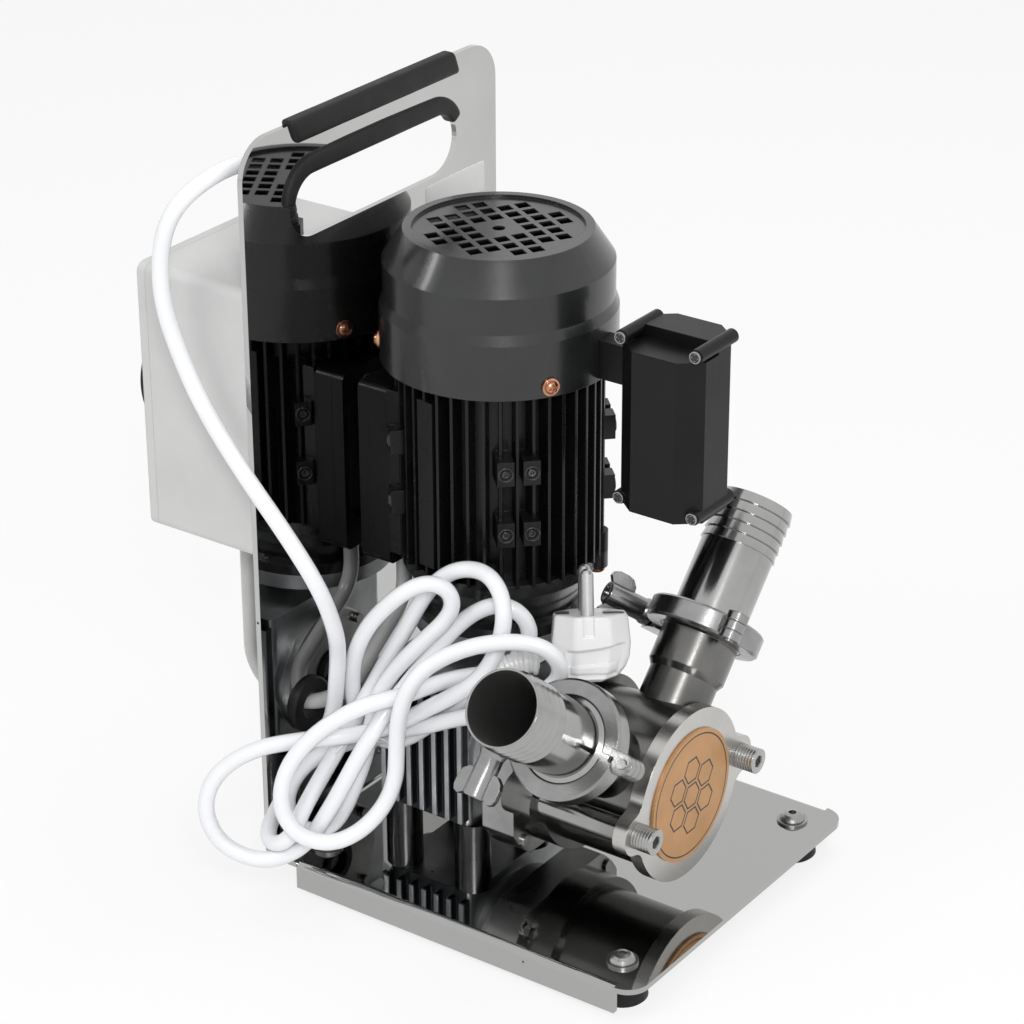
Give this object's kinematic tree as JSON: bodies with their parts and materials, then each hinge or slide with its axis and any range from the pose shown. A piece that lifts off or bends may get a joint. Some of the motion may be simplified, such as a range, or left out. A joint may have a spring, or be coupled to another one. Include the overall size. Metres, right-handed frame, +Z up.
{
  "type": "honey pump",
  "caption": "Honey pump on an L-shaped steel frame: a rubber-impeller pump turned by an upright finned motor through a worm gearbox, with a speed control, hose tails and a tied mains cord.",
  "frame": {"origin": "centre of the plane on which the four rubber feet stand", "axes": "+Z is up. +X points from the upright plate towards the pump's cover. +Y points to the side on which the outlet tail rises; the inlet tail rises towards -Y."},
  "size_m": [0.3054, 0.2516, 0.4034],
  "materials": {
    "stainless": "satin",
    "polished": "polished",
    "steel": "satin",
    "cast_aluminium": "satin",
    "black_paint": "satin",
    "black_plastic": "matte",
    "pale_plastic": "satin",
    "white_plastic": "gloss",
    "rubber": "matte",
    "brass": "satin",
    "bronze": "satin",
    "badge": "satin",
    "board": "satin",
    "dark_cable": "satin",
    "white_cord": "gloss",
    "chrome": "polished"
  },
  "bodies": {
    "frame": {"frame_plate": "stainless", "edge_trims": "rubber", "rubber_feet": "rubber", "foot_bolts": "steel", "cable_grommet": "rubber", "standoffs": "steel", "gearbox_housing": "cast_aluminium", "gearbox_cover": "cast_aluminium", "gearbox_screws": "steel", "output_flange": "cast_aluminium", "bearings": "steel", "shaft_seals": "rubber", "motor_flange": "black_paint", "motor_body": "black_paint", "stator": "steel", "upper_shield": "black_paint", "fan_cowl": "black_plastic", "motor_screws": "brass", "terminal_base": "black_plastic", "terminal_lid": "black_plastic", "terminal_block": "white_plastic", "capacitor_front": "black_plastic", "capacitor_rear": "black_plastic", "capacitor_cell": "white_plastic", "box_screws": "brass", "adapter_block": "polished", "pump_body": "stainless", "pump_cover": "stainless", "cover_badge": "badge", "gaskets": "rubber", "cover_rods": "steel", "cover_bolts": "steel", "cam_insert": "steel", "outlet_tail": "polished", "inlet_tail": "polished", "inlet_clamp_halves": "polished", "outlet_clamp_halves": "polished", "clamp_pins": "steel", "control_box": "pale_plastic", "control_lid": "pale_plastic", "control_board": "board", "cable_glands": "black_plastic", "motor_cable": "dark_cable", "mains_cord": "white_cord", "plug_lead": "white_cord", "cord_hank": "white_cord", "mains_plug": "white_plastic", "plug_pins": "chrome"},
    "rotor": {"motor_shaft": "steel", "rotor_core": "steel", "cooling_fan": "black_plastic", "worm": "steel"},
    "pump_rotor": {"pump_shaft": "steel", "worm_wheel": "bronze", "impeller": "rubber"},
    "knob": {"speed_knob": "black_plastic"},
    "inlet_bolt": {"inlet_swing_bolt": "steel"},
    "inlet_nut": {"inlet_wing_nut": "steel"},
    "outlet_bolt": {"outlet_swing_bolt": "steel"},
    "outlet_nut": {"outlet_wing_nut": "steel"}
  },
  "joints": [
    {"name": "rotor_spin", "type": "hinge", "parent": "frame", "child": "rotor", "pos_m": [-0.0492, 0.0157, 0.2], "axis": [0, 0, 1], "continuous": true},
    {"name": "pump_spin", "type": "hinge", "parent": "frame", "child": "pump_rotor", "pos_m": [0.02, -0.0143, 0.0791], "axis": [1, 0, 0], "continuous": true},
    {"name": "knob_turn", "type": "hinge", "parent": "frame", "child": "knob", "pos_m": [-0.181, -0.059, 0.257], "axis": [-1, 0, 0], "range_deg": [0, 300]},
    {"name": "inlet_bolt_swing", "type": "hinge", "parent": "frame", "child": "inlet_bolt", "pos_m": [0.02371, -0.07176, 0.13939], "axis": [0, 0.7826, -0.6225], "range_deg": [0, 50]},
    {"name": "inlet_nut_turn", "type": "hinge", "parent": "inlet_bolt", "child": "inlet_nut", "pos_m": [0.02371, -0.07176, 0.13939], "axis": [-0.0698, -0.621, -0.7807], "continuous": true},
    {"name": "outlet_bolt_swing", "type": "hinge", "parent": "frame", "child": "outlet_bolt", "pos_m": [0.03697, 0.06346, 0.11939], "axis": [0, -0.682, -0.7314], "range_deg": [0, 80]},
    {"name": "outlet_nut_turn", "type": "hinge", "parent": "outlet_bolt", "child": "outlet_nut", "pos_m": [0.03697, 0.06346, 0.11939], "axis": [-0.6428, -0.5602, 0.5224], "continuous": true}
  ],
  "couplings": [
    {"joint": "pump_spin", "follows": "rotor_spin", "ratio": -0.05}
  ]
}
